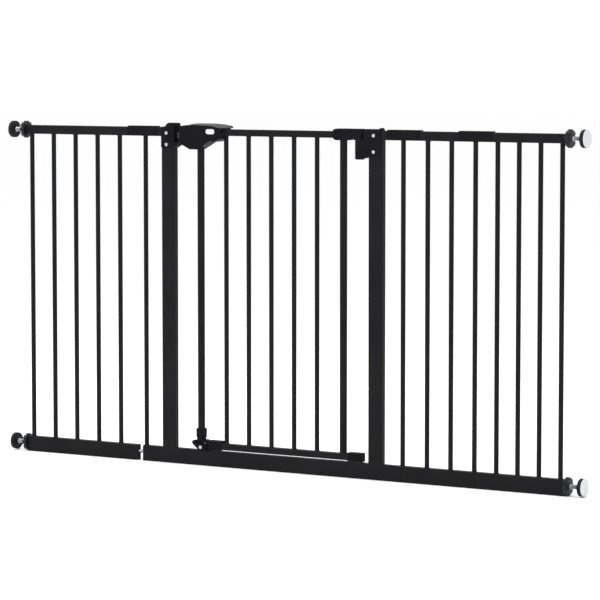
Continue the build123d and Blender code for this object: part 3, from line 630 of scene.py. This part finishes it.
# ---- weld beads where the bars meet the rails: geometry nodes ----------------------------------
def weld_bead_tree():
    """A small uneven collar of weld at every point it is given."""
    tree = bpy.data.node_groups.new("weld_beads", "GeometryNodeTree")
    tree.interface.new_socket("Geometry", in_out="INPUT",
                              socket_type="NodeSocketGeometry")
    tree.interface.new_socket("Geometry", in_out="OUTPUT",
                              socket_type="NodeSocketGeometry")
    ids = {
        "Bar Radius": number_input(tree, "Bar Radius", BAR_RADIUS),
        "Bead Size": number_input(tree, "Bead Size", BEAD_SIZE),
        "Unevenness": number_input(tree, "Unevenness", BEAD_UNEVENNESS),
        "Finish": finish_input(tree),
    }
    given = tree.nodes.new("NodeGroupInput")
    result = tree.nodes.new("NodeGroupOutput")
    path = tree.nodes.new("GeometryNodeCurvePrimitiveCircle")
    path.inputs["Resolution"].default_value = BEAD_STEPS
    tree.links.new(given.outputs["Bar Radius"], path.inputs["Radius"])
    section = tree.nodes.new("GeometryNodeCurvePrimitiveCircle")
    section.inputs["Resolution"].default_value = BEAD_SIDES
    tree.links.new(given.outputs["Bead Size"], section.inputs["Radius"])
    bead = tree.nodes.new("GeometryNodeCurveToMesh")
    link_all(tree, [(path.outputs["Curve"], bead.inputs["Curve"]),
                    (section.outputs["Curve"], bead.inputs["Profile Curve"])])
    scatter = tree.nodes.new("GeometryNodeInstanceOnPoints")
    link_all(tree, [(given.outputs["Geometry"], scatter.inputs["Points"]),
                    (bead.outputs["Mesh"], scatter.inputs["Instance"])])
    realize = tree.nodes.new("GeometryNodeRealizeInstances")
    tree.links.new(scatter.outputs[0], realize.inputs[0])
    ripple = tree.nodes.new("ShaderNodeTexNoise")
    ripple.inputs["Scale"].default_value = 420.0
    ripple.inputs["Detail"].default_value = 1.0
    position = tree.nodes.new("GeometryNodeInputPosition")
    normal = tree.nodes.new("GeometryNodeInputNormal")
    tree.links.new(position.outputs[0], ripple.inputs["Vector"])
    swell = math_node(tree, "MULTIPLY",
                      math_node(tree, "SUBTRACT", ripple.outputs["Fac"], 0.5),
                      given.outputs["Unevenness"])
    offset = tree.nodes.new("ShaderNodeVectorMath")
    offset.operation = "SCALE"
    link_all(tree, [(normal.outputs[0], offset.inputs[0]),
                    (swell, offset.inputs["Scale"])])
    shape = tree.nodes.new("GeometryNodeSetPosition")
    link_all(tree, [(realize.outputs[0], shape.inputs["Geometry"]),
                    (offset.outputs[0], shape.inputs["Offset"])])
    smooth = tree.nodes.new("GeometryNodeSetShadeSmooth")
    paint = tree.nodes.new("GeometryNodeSetMaterial")
    link_all(tree, [(shape.outputs[0], smooth.inputs["Geometry"]),
                    (smooth.outputs[0], paint.inputs["Geometry"]),
                    (given.outputs["Finish"], paint.inputs["Material"]),
                    (paint.outputs[0], result.inputs[0])])
    return tree, ids


def bar_centres(node):
    """Centre line of each bar in a group node, as (x, bottom z, top z)."""
    mesh = frame["nodes"][node].data
    xs = sorted(v.co.x for v in mesh.vertices)
    groups = [[xs[0], xs[0]]]
    for x in xs:
        if x - groups[-1][1] > BAR_GAP:
            groups.append([x, x])
        groups[-1][1] = max(groups[-1][1], x)
    low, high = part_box(node)
    return [((a + b) / 2, low[2], high[2]) for a, b in groups]


def build_weld_beads():
    tree, ids = weld_bead_tree()
    for body, nodes in (("frame", ("main_outer_bars", "left_ext_bars",
                                   "near_ext_bars", "far_ext_bars")),
                        ("door", ("door_bars",))):
        ends = []
        for node in nodes:
            for x, bottom, top in bar_centres(node):
                ends += [(x, 0.0, bottom), (x, 0.0, top)]
        points = bpy.data.meshes.new(body + "_weld_points")
        points.from_pydata(ends, [], [])
        mesh = grow(body + "_weld_beads", tree, ids, {
            "Bar Radius": BAR_RADIUS, "Bead Size": BEAD_SIZE,
            "Unevenness": BEAD_UNEVENNESS, "Finish": FINISHES["powder_coat"]}, points)
        face_outwards(mesh)
        beads = mesh_piece(body + "_weld_beads", mesh, "powder_coat")
        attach(beads, body)


# ---- studio ------------------------------------------------------------------------------------------
def area_light(name, place, target, size, power):
    data = bpy.data.lights.new(name, "AREA")
    data.shape = "RECTANGLE"
    data.size, data.size_y = size
    data.energy = power
    light = bpy.data.objects.new(name, data)
    light.location = place
    direction = Vector(target) - Vector(place)
    light.rotation_euler = direction.to_track_quat("-Z", "Y").to_euler()
    bpy.context.scene.collection.objects.link(light)


FLOOR_HALF = 30.0
PAPER_TONE = 0.93
WORLD_STRENGTH = 1.06


def build_studio():
    floor_mesh = bpy.data.meshes.new("floor")
    half = FLOOR_HALF
    floor_mesh.from_pydata([(-half, -half, 0), (half, -half, 0), (half, half, 0),
                            (-half, half, 0)], [], [(0, 1, 2, 3)])
    floor = bpy.data.objects.new("floor", floor_mesh)
    bpy.context.scene.collection.objects.link(floor)
    paper, tree, shader = new_finish("floor_paper")
    shader.inputs["Base Color"].default_value = (*[PAPER_TONE] * 3, 1.0)
    shader.inputs["Roughness"].default_value = 0.9
    shader.inputs["Specular IOR Level"].default_value = 0.1
    floor_mesh.materials.append(paper)

    world = bpy.data.worlds.new("studio")
    world.use_nodes = True
    background = world.node_tree.nodes["Background"]
    background.inputs["Color"].default_value = (1.0, 1.0, 1.0, 1.0)
    background.inputs["Strength"].default_value = WORLD_STRENGTH
    bpy.context.scene.world = world
    area_light("key", (-2.2, -3.2, 3.4), (0.0, 0.0, 0.4), (2.6, 2.0), 110.0)
    area_light("fill", (4.2, -3.0, 1.6), (0.2, 0.0, 0.4), (1.8, 1.8), 45.0)
    area_light("top", (0.2, 0.6, 3.6), (0.0, 0.0, 0.4), (3.0, 1.6), 60.0)


CAMERA_AZIMUTH = 31.65
CAMERA_HEIGHT = 4.72
CAMERA_DISTANCE = 6.662
CAMERA_TARGET = (0.0734, 0.0, 0.3796)
CAMERA_LENS = 184.0


def build_camera():
    azimuth = math.radians(CAMERA_AZIMUTH)
    pitch = math.radians(CAMERA_HEIGHT)
    back = Vector((math.sin(azimuth) * math.cos(pitch),
                   -math.cos(azimuth) * math.cos(pitch), math.sin(pitch)))
    data = bpy.data.cameras.new("camera")
    data.lens = CAMERA_LENS
    data.sensor_width = 36.0
    data.clip_end = 100.0
    camera = bpy.data.objects.new("camera", data)
    camera.location = Vector(CAMERA_TARGET) + back * CAMERA_DISTANCE
    camera.rotation_euler = (math.pi / 2 - pitch, 0.0, azimuth)
    bpy.context.scene.collection.objects.link(camera)
    bpy.context.scene.camera = camera


finish_cad_nodes()
build_spindles()
build_weld_beads()
build_studio()
build_camera()
bpy.context.scene.view_settings.view_transform = "Standard"
bpy.context.view_layer.update()
